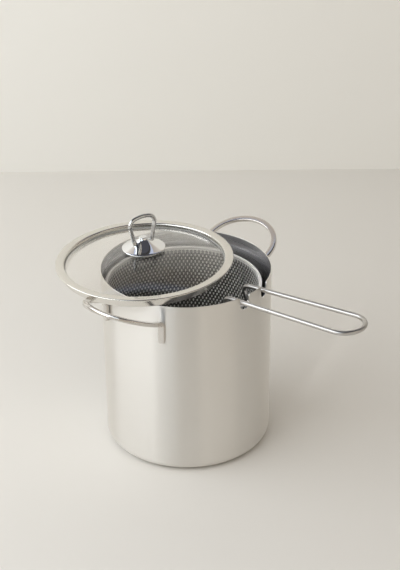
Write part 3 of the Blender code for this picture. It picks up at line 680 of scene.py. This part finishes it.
def make_basket_wall():
    """Sheet with staggered holes, each in a six-sided tile that it shares with its neighbours."""
    bm = bmesh.new()
    bottom = BASKET_BOTTOM + SEAT_GAP
    high = BASKET_WALL_TOP - WALL_PLAIN_TOP
    step = HOLE_ROW_STEP
    rows = int((high - bottom - WALL_PLAIN_FOOT) / step - 1 / 3)
    low = high - (rows + 2 / 3) * step
    half_angle = math.tau / HOLE_COLUMNS
    half_width = half_angle * BASKET_RADIUS
    slant = step / 3 / half_width
    wide = half_width - HOLE_UPRIGHT_WEB / 2
    tip = 2 * step / 3 - HOLE_SLANT_WEB / 2 * math.hypot(1.0, slant)
    hole = six_corners(wide, tip - slant * wide, tip)
    corners = {}

    def place(turned, height):
        return (BASKET_RADIUS * math.cos(turned), BASKET_RADIUS * math.sin(turned), height)

    def corner(column, third):
        """Corner of a tile; heights are counted in thirds of a row."""
        key = (column % HOLE_COLUMNS, third)
        if key not in corners:
            corners[key] = bm.verts.new(place(key[0] * half_angle, low + third * step / 3))
        return corners[key]

    for row in range(1, rows + 1):
        for column in range(row % 2, HOLE_COLUMNS, 2):
            tile = [corner(column + aside, 3 * row + third) for aside, third in
                    six_corners(1, 1, 2)]
            ring = [bm.verts.new(place(column * half_angle + u / BASKET_RADIUS,
                                       low + row * step + v)) for u, v in hole]
            for k in range(6):
                n = (k + 1) % 6
                face = bm.faces.new((tile[k], tile[n], ring[n], ring[k]))
                # Upright webs keep the sheet's steel; the slanted ones take the dark painted
                # shade
                upright = k in (2, 5)
                face.material_index = 0 if upright else 1
    for row, way, level in ((1, -1, bottom), (rows, 1, BASKET_WALL_TOP)):
        band = [bm.verts.new(place(c * half_angle, level)) for c in range(HOLE_COLUMNS)]
        edge = [corner(c, 3 * row + way * (2 if c % 2 == row % 2 else 1))
                for c in range(HOLE_COLUMNS)]
        for c in range(HOLE_COLUMNS):
            n = (c + 1) % HOLE_COLUMNS
            bm.faces.new((band[c], edge[c], edge[n], band[n]))
    wall = add_piece("basket_sheet_wall", bm, [BASKET_STEEL, WEB_STEEL_PAINTED_SHADE], BASKET_PLACE)
    wall.data.flip_normals()
    thicken(wall, BASKET_SHEET, sharp=180.0)
    finish_piece(wall, "basket", "basket_wall_steel", "basket_wall")


def make_basket_floor():
    """Dish drawn by its underside: a flat round with fine holes and a turned-up edge."""
    radius = BASKET_INSIDE - SEAT_GAP
    corner = BASKET_FLOOR_CORNER
    low = BASKET_BOTTOM
    flat = radius - corner
    bm = bmesh.new()
    side = [(flat, low)] + arc((flat, low + corner), corner, -90, 0, 6)[1:]
    side.append((radius, low + BASKET_FLOOR_LIP))
    rings = [round_of_verts(bm, (0.0, 0.0), reach, level, FLOOR_SEGMENTS)
             for reach, level in side]
    for ring, following in zip(rings, rings[1:]):
        for k in range(len(ring)):
            bm.faces.new((ring[k], ring[k - 1], following[k - 1], following[k]))
    edges = [bm.edges.get((rings[0][k - 1], v)) for k, v in enumerate(rings[0])]
    line_step = FLOOR_HOLE_PITCH * math.sqrt(0.75)
    furthest = flat - FLOOR_PLAIN_EDGE - FLOOR_HOLE_RADIUS
    lines = int(furthest / line_step)
    across = int(furthest / FLOOR_HOLE_PITCH) + 1
    for line in range(-lines, lines + 1):
        y = line * line_step
        shift = FLOOR_HOLE_PITCH / 2 * (line % 2)
        for column in range(-across, across + 1):
            x = column * FLOOR_HOLE_PITCH + shift
            if math.hypot(x, y) < furthest:
                hole = round_of_verts(bm, (x, y), FLOOR_HOLE_RADIUS, low, FLOOR_HOLE_SIDES)
                edges += [bm.edges.new((hole[k - 1], v)) for k, v in enumerate(hole)]
    bmesh.ops.triangle_fill(bm, use_beauty=True, edges=edges, normal=(0, 0, -1))
    bmesh.ops.recalc_face_normals(bm, faces=bm.faces)
    if max(bm.faces, key=lambda face: abs(face.normal.z)).normal.z > 0.0:
        bmesh.ops.reverse_faces(bm, faces=bm.faces)
    dish = link_mesh("basket_sheet_floor", bm, [FLOOR_STEEL])
    dish.data.shade_smooth()
    dish.matrix_world = BASKET_PLACE
    thicken(dish, BASKET_FLOOR_SHEET, offset=-1.0)
    finish_piece(dish, "basket", "basket_floor_steel", "basket_floor")


def make_basket_rim():
    bead = BASKET_RIM_BEAD
    radius = BASKET_RADIUS + BASKET_RIM_CENTRE_OFFSET
    height = BASKET_RIM_HEIGHT - bead / 2.0
    ring = [(radius + u, height + v) for u, v in rounded_bar(bead, bead, BASKET_RIM_EDGE)]
    rim = add_piece("basket_rolled_rim", turn(ring, ROUND_SEGMENTS), [RIM_STEEL], BASKET_PLACE,
                    sharp=60.0)
    finish_piece(rim, "basket", "basket_rim_steel", "basket_rim")


def make_basket_handle(bend_steps=20, straight_steps=24, end_steps=28):
    wall_height = POT_HEIGHT - WIRE_WALL_DROP
    slope = math.tan(WIRE_RISE)
    root = WIRE_ROOT_SPACING / 2.0
    tip = WIRE_END_SPACING / 2.0
    leg = math.sqrt((BASKET_INSIDE - SEAT_GAP - WIRE_DIAMETER / 2.0) ** 2 - root ** 2)
    bend = WIRE_BEND_RADIUS
    lean = WIRE_LEG_LEAN
    innermost = leg - WIRE_LEG_INSET
    first = innermost + bend
    straight_end = POT_RADIUS + WIRE_REACH - WIRE_DIAMETER / 2.0 - tip

    def height(distance):
        return wall_height + (distance - POT_RADIUS) * slope

    def spread(distance):
        return root + (tip - root) * (distance - first) / (straight_end - first)

    bend_start = innermost + bend * (1.0 - math.cos(lean))
    foot_top = (height(first) - bend * (1.0 + math.sin(lean))
                - (leg - bend_start) / math.tan(lean))
    half = [Vector((root, -leg, foot_top - WIRE_FOOT_LENGTH)), Vector((root, -leg, foot_top))]
    bend_end = math.pi / 2 - WIRE_RISE
    for i in range(bend_steps + 1):
        angle = -lean + (bend_end + lean) * i / bend_steps
        out = innermost + bend * (1.0 - math.cos(angle))
        half.append(Vector((root, -out, height(first) - bend * (1.0 - math.sin(angle)))))
    for i in range(1, straight_steps + 1):
        out = first + (straight_end - first) * i / straight_steps
        half.append(Vector((spread(out), -out, height(out))))
    for i in range(1, end_steps + 1):
        angle = math.pi / 2 * i / end_steps
        out = straight_end + tip * math.sin(angle)
        half.append(Vector((tip * math.cos(angle), -out, height(out))))
    points = half + [Vector((-p.x, p.y, p.z)) for p in reversed(half[:-1])]
    wire = add_piece("basket_wire_handle", wire_tube(points, WIRE_DIAMETER), [WIRE_STEEL],
                     BASKET_PLACE)
    finish_piece(wire, "basket", "basket_handle_steel", "basket_handle")


# Lid, drawn round its own axis with the top of its flange at height 0

LID_PLACE = Matrix.Translation(LID_CENTRE) @ Matrix.Rotation(
    LID_TILT, 4, Vector((0, 0, 1)).cross(
        Vector((math.cos(LID_SHIFT_ANGLE), math.sin(LID_SHIFT_ANGLE), 0.0))))


def glass_top(radius):
    """Height of the dome's outer face."""
    dome = GLASS_DOME_RADIUS
    return (math.sqrt(dome ** 2 - radius ** 2) - math.sqrt(dome ** 2 - GLASS_RADIUS ** 2)
            - GLASS_EDGE_DROP)


def make_lid_rim():
    inner = LID_BAND_INNER_RADIUS
    flange = LID_FLANGE_THICKNESS
    sheet = LID_BAND_SHEET
    skirt = LID_SKIRT_RADIUS
    bottom = -LID_SKIRT_DEPTH
    collar_low = glass_top(inner) + 2 * SEAT_GAP + SEAL_LIP
    edge = flange / 2.0
    shoulder = LID_BAND_ROUND
    fold = LID_SKIRT_FOLD
    profile = [(inner, collar_low)]
    profile += arc((inner + shoulder, -shoulder), shoulder, 180, 90, 8)
    profile += arc((LID_RADIUS - edge, -edge), edge, 90, -90, 12)
    profile += arc((skirt + fold, -flange - fold), fold, 90, 180, 4)
    profile += arc((skirt - sheet / 2, bottom + sheet / 2), sheet / 2, 0, -180, 6)
    profile += [(LID_SKIRT_INSIDE, -flange), (inner + sheet, -flange)]
    profile += [(inner + sheet, collar_low)]
    band = add_piece("lid_steel_band", turn(profile, ROUND_SEGMENTS), [LID_STEEL], LID_PLACE)
    finish_piece(band, "lid", "lid_rim_steel", "lid_rim")


def make_lid_glass(steps=24):
    bevel = GLASS_EDGE_BEVEL
    radii = [GLASS_HOLE_RADIUS + (GLASS_RADIUS - bevel - GLASS_HOLE_RADIUS) * i / steps
             for i in range(steps + 1)]
    profile = [(r, glass_top(r)) for r in radii]
    profile += [(GLASS_RADIUS, glass_top(GLASS_RADIUS) - bevel),
                (GLASS_RADIUS, glass_top(GLASS_RADIUS) - GLASS_THICKNESS + bevel)]
    profile += [(r, glass_top(r) - GLASS_THICKNESS) for r in reversed(radii)]
    dome = add_piece("lid_glass_dome", turn(profile, GLASS_SEGMENTS), [GLASS], LID_PLACE)
    finish_piece(dome, "lid", "lid_glass", "lid_glass")


PAD_TOP = glass_top(GLASS_HOLE_RADIUS) + SEAT_GAP + PAD_THICKNESS
KNOB_FOOT = PAD_TOP + SEAT_GAP
LOOP_PLACE = (LID_PLACE @ Matrix.Rotation(KNOB_LOOP_ANGLE, 4, "Z")
              @ Matrix.Translation((0.0, 0.0, KNOB_FOOT + KNOB_SOCKET_HEIGHT)))


def make_knob(steps=28):
    """Turned bell with a flared flank, a bore for the screw and two sockets for the loop."""
    foot = KNOB_FOOT
    bore = SCREW_RADIUS + SEAT_GAP
    edge = KNOB_BASE_EDGE / 2.0
    flare_low = foot + KNOB_BASE_EDGE
    flare_top = foot + KNOB_FLARE_TOP
    top = foot + KNOB_HEIGHT
    soft = KNOB_TOP_ROUND
    profile = [(0.0, foot + KNOB_BORE_DEPTH), (bore, foot + KNOB_BORE_DEPTH), (bore, foot)]
    profile += arc((KNOB_BASE_RADIUS - edge, foot + edge), edge, -90, 45, 6)
    for i in range(1, steps + 1):
        share = i / steps
        radius = (KNOB_TOP_RADIUS + (KNOB_BASE_RADIUS - KNOB_TOP_RADIUS)
                  * (1.0 - share) ** KNOB_FLARE_POWER)
        profile.append((radius, flare_low + (flare_top - flare_low) * share))
    profile += arc((KNOB_TOP_RADIUS - soft, top - soft), soft, 0, 90, 6)
    profile += [(0.0, top)]
    bell = add_piece("knob_bell", turn(profile, KNOB_SEGMENTS, closed=False), [KNOB_CHROME],
                     LID_PLACE, sharp=50.0)
    tools = []
    for side in (1, -1):
        path = [Vector((side * p.x, 0.0, p.z)) for p in knob_loop_outline()
                if p.x > 0.0 and p.z < KNOB_HEIGHT]
        path[0].x = side * KNOB_SOCKET_FLOOR
        bm = wire_tube(path, KNOB_LOOP_WIRE + 2 * SEAT_GAP, SOCKET_SIDES)
        tools.append(add_piece("socket_%d" % side, bm, [], LOOP_PLACE))
    carve(bell, tools, "MANIFOLD")
    finish_piece(bell, "lid", "knob_chrome", "knob_base")


def smooth_through(points, steps):
    """Catmull-Rom curve through points."""
    padded = [points[0]] + list(points) + [points[-1]]
    out = []
    for a, b, c, d in zip(padded, padded[1:], padded[2:], padded[3:]):
        for i in range(steps):
            t = i / steps
            out.append(0.5 * ((2 * b) + (c - a) * t + (2 * a - 5 * b + 4 * c - d) * t * t
                              + (3 * b - a - 3 * c + d) * t ** 3))
    out.append(points[-1])
    return out


def knob_loop_outline():
    """Pear-shaped loop in its own plane."""
    half = KNOB_LOOP_HALF_WIDTH
    rise = KNOB_LOOP_HEIGHT
    lean = math.degrees(KNOB_LOOP_LEAN)
    shape = [(KNOB_SOCKET_FLOOR + SEAT_GAP, 0.0)]
    shape += arc((KNOB_LOOP_MOUTH, KNOB_LOOP_BEND), KNOB_LOOP_BEND, -90, lean - 90, 3)
    shape += [(half * u, rise * v) for u, v in KNOB_LOOP_SHAPE]
    outline = [Vector((x, 0.0, z)) for x, z in shape] + [Vector((0.0, 0.0, rise))]
    outline += [Vector((-x, 0.0, z)) for x, z in reversed(shape)]
    return smooth_through(outline, 9)


def make_knob_loop():
    loop = add_piece("knob_wire_loop", wire_tube(knob_loop_outline(), KNOB_LOOP_WIRE),
                     [LOOP_CHROME_PAINTED_SHADE], LOOP_PLACE)
    finish_piece(loop, "lid", "loop_chrome", "knob_loop")


make_pot()
make_side_handles()
make_basket_wall()
make_basket_floor()
make_basket_rim()
make_basket_handle()
make_lid_rim()
make_lid_glass()
make_knob()
make_knob_loop()

# Pieces that stay as the CAD has them
for name, mat in (
        ("base_core", CORE_METAL), ("base_cap", CAP_STEEL),
        ("glass_seal", SEAL_RUBBER), ("knob_pad", PAD_RUBBER), ("washer_pad", PAD_RUBBER),
        ("knob_washer", SCREW_STEEL), ("knob_screw", SCREW_STEEL)):
    slots = nodes[name].data.materials
    for index in range(len(slots)):
        slots[index] = mat


# Stage. Its axes are the photograph's: across to the right, away from the camera, up

CAMERA_TURN = math.radians(52.0)
STAGE_REACH = 6.0
FLOOR_STEP = 0.0005
WALL_AWAY = 0.742
WALL_HEIGHT = 2.2
STAGE_SPECULAR = 0.25
PAPER_GRAIN_SCALE = 3.0
PAPER_ROUGHNESS = (0.55, 0.62)
BACKDROP_ROUGHNESS = 0.6
GLOW_START = 1.7
GLOW_FULL = 3.2
FAR_GLOW = 0.55


def from_view(across, away, up):
    """A point given across, away and up as the camera sees the pot."""
    c = math.cos(CAMERA_TURN)
    s = math.sin(CAMERA_TURN)
    return Vector((across * c + away * s, -across * s + away * c, up))


def plain_surface(name, first, second):
    """Pale paper that glows softly far from the pot, so that no far edge looks dark."""
    m = Nodes(name)
    m.set(Metallic=0.0, Specular_IOR_Level=STAGE_SPECULAR, Emission_Color=(*first, 1.0))
    grain = m.noise(m.stretched(), PAPER_GRAIN_SCALE, 2.0)
    m.feed(m.span(grain, *PAPER_ROUGHNESS), "Roughness")
    m.tint(grain, first, second)
    glow = m.map_range(m.reach(m.place()), smooth=True, From_Min=GLOW_START,
                       From_Max=GLOW_FULL, To_Max=FAR_GLOW)
    m.feed(glow, "Emission Strength")
    return m.mat


def fading_backdrop(name, stops):
    """Backdrop that fades with height and can't be seen from behind."""
    m = Nodes(name)
    m.set(Metallic=0.0, Specular_IOR_Level=STAGE_SPECULAR, Roughness=BACKDROP_ROUGHNESS)
    share = m.add("ShaderNodeMath", operation="DIVIDE")
    share.inputs[1].default_value = WALL_HEIGHT
    m.link(m.place_parts()["Z"], share.inputs[0])
    ramp = m.add("ShaderNodeValToRGB")
    m.link(share.outputs["Value"], ramp.inputs["Fac"])
    m.feed(ramp.outputs["Color"], "Base Color")
    elements = ramp.color_ramp.elements
    while len(elements) < len(stops):
        elements.new(1.0)
    for element, (height, colour) in zip(elements, stops):
        element.position = height / WALL_HEIGHT
        element.color = (*colour, 1.0)
    m.clear_where(m.add("ShaderNodeNewGeometry").outputs["Backfacing"])
    return m.mat


def add_sheet(name, corners, mat):
    bm = bmesh.new()
    bm.faces.new([bm.verts.new(corner) for corner in corners])
    link_mesh(name, bm, [mat])


def add_floor(name, near, far, height, mat):
    reach = STAGE_REACH
    add_sheet(name, [from_view(-reach, near, height), from_view(reach, near, height),
                     from_view(reach, far, height), from_view(-reach, far, height)], mat)


# The backdrop above the photograph is only there for what the steel, glass and knob reflect
FLOOR = plain_surface("floor_cream", (0.752, 0.731, 0.694), (0.760, 0.739, 0.702))
BACKDROP = fading_backdrop("backdrop_beige", (
    (0.0, (0.81, 0.80, 0.77)), (0.9, (0.80, 0.79, 0.76)), (1.1, (0.60, 0.56, 0.53)),
    (1.55, (0.46, 0.43, 0.41)), (1.61, (0.58, 0.65, 0.86)), (1.90, (0.58, 0.65, 0.86)),
    (1.94, (0.05, 0.05, 0.05)), (2.2, (0.03, 0.03, 0.03))))
add_floor("floor", -STAGE_REACH, WALL_AWAY, 0.0, FLOOR)
add_floor("floor_behind", WALL_AWAY, STAGE_REACH, -FLOOR_STEP, FLOOR)
add_sheet("backdrop", [from_view(-STAGE_REACH, WALL_AWAY, 0.0),
                       from_view(STAGE_REACH, WALL_AWAY, 0.0),
                       from_view(STAGE_REACH, WALL_AWAY, WALL_HEIGHT),
                       from_view(-STAGE_REACH, WALL_AWAY, WALL_HEIGHT)], BACKDROP)


# Lamps

AREA_TARGET = Vector((0.0, 0.0, 0.1))


def add_lamp(light, spot, target, shows_in_metal):
    lamp = bpy.data.objects.new(light.name, light)
    lamp.location = spot
    lamp.rotation_mode = "QUATERNION"
    lamp.rotation_quaternion = (target - spot).to_track_quat("-Z", "Y")
    lamp.visible_glossy = shows_in_metal
    bpy.context.scene.collection.objects.link(lamp)


# Name, place as the camera sees it, width and height, watts, colour, shows in metal
for name, spot, size, power, colour, shows_in_metal in (
        ("key", (-1.35, -0.40, 1.0), (2.2, 1.3), 22.6, (0.93, 0.97, 1.0), True),
        ("key_edge", (-0.62, -1.30, 1.0), (0.6, 1.2), 1.8, (0.78, 0.90, 1.0), True),
        ("fill", (1.2, -1.4, 1.1), (1.8, 1.2), 3.6, (1.0, 0.89, 0.75), True),
        ("top", (-0.1, -0.9, 2.0), (2.0, 2.0), 16.6, (1.0, 0.94, 0.85), False)):
    light = bpy.data.lights.new(name, "AREA")
    light.shape = "RECTANGLE"
    light.size, light.size_y = size
    light.energy = power
    light.color = colour
    add_lamp(light, from_view(*spot), AREA_TARGET, shows_in_metal)

ACCENT_PLACE = from_view(-0.33, -0.90, 0.95)
ACCENT_TARGET = from_view(0.045, 0.03, 0.13)


def add_accent():
    """Narrow lamp that reaches past the lid into the open side of the basket."""
    light = bpy.data.lights.new("accent", "SPOT")
    light.energy = 28.0
    light.color = (1.0, 0.99, 0.97)
    light.spot_size = math.radians(7.0)
    light.spot_blend = 0.9
    light.shadow_soft_size = 0.04
    add_lamp(light, ACCENT_PLACE, ACCENT_TARGET, False)


add_accent()


# World: dim studio, beige low down and near black overhead. The first number of each is the
# sine of the angle above the horizon

WORLD_LOW = (0.0, (0.58, 0.53, 0.44))
WORLD_TOP = (0.82, (0.07, 0.07, 0.08))
WORLD_BETWEEN = ((0.35, (0.42, 0.39, 0.34)), (0.6, (0.12, 0.12, 0.12)))


def make_world():
    world = bpy.data.worlds.new("studio")
    bpy.context.scene.world = world
    world.use_nodes = True
    tree = world.node_tree
    back = tree.nodes["Background"]
    coords = tree.nodes.new("ShaderNodeTexCoord")
    parts = tree.nodes.new("ShaderNodeSeparateXYZ")
    ramp = tree.nodes.new("ShaderNodeValToRGB")
    tree.links.new(coords.outputs["Generated"], parts.inputs["Vector"])
    tree.links.new(parts.outputs["Z"], ramp.inputs["Fac"])
    tree.links.new(ramp.outputs["Color"], back.inputs["Color"])
    stops = ramp.color_ramp.elements
    for stop, (position, colour) in zip(stops, (WORLD_LOW, WORLD_TOP)):
        stop.position = position
        stop.color = (*colour, 1.0)
    for position, colour in WORLD_BETWEEN:
        stops.new(position).color = (*colour, 1.0)
    back.inputs["Strength"].default_value = 1.0


make_world()


# Camera, fitted to the rim, the foot and the outline of the pot

FOCAL_PIXELS = 1299.92
LONG_SIDE_PIXELS = 570
SENSOR = 36.0
PITCH = 0.48588
ROLL = -0.0083
CAMERA_ACROSS = 0.01455
CAMERA_BACK = 1.23283
CAMERA_ABOVE_RIM = 0.62843


def make_camera():
    data = bpy.data.cameras.new("camera")
    data.sensor_fit = "AUTO"
    data.sensor_width = SENSOR
    data.lens = FOCAL_PIXELS / LONG_SIDE_PIXELS * SENSOR
    data.clip_start = 0.01
    data.clip_end = 50.0
    camera = bpy.data.objects.new("camera", data)
    bpy.context.scene.collection.objects.link(camera)
    right = from_view(1, 0, 0)
    ahead = from_view(0, math.cos(PITCH), -math.sin(PITCH))
    above = from_view(0, math.sin(PITCH), math.cos(PITCH))
    rolled_right = right * math.cos(ROLL) + above * math.sin(ROLL)
    rolled_up = above * math.cos(ROLL) - right * math.sin(ROLL)
    rows = Matrix((rolled_right, rolled_up, -ahead)).transposed()
    place = from_view(CAMERA_ACROSS, -CAMERA_BACK, POT_HEIGHT + CAMERA_ABOVE_RIM)
    camera.matrix_world = Matrix.Translation(place) @ rows.to_4x4()
    bpy.context.scene.camera = camera


make_camera()
bpy.context.scene.view_settings.view_transform = "Standard"
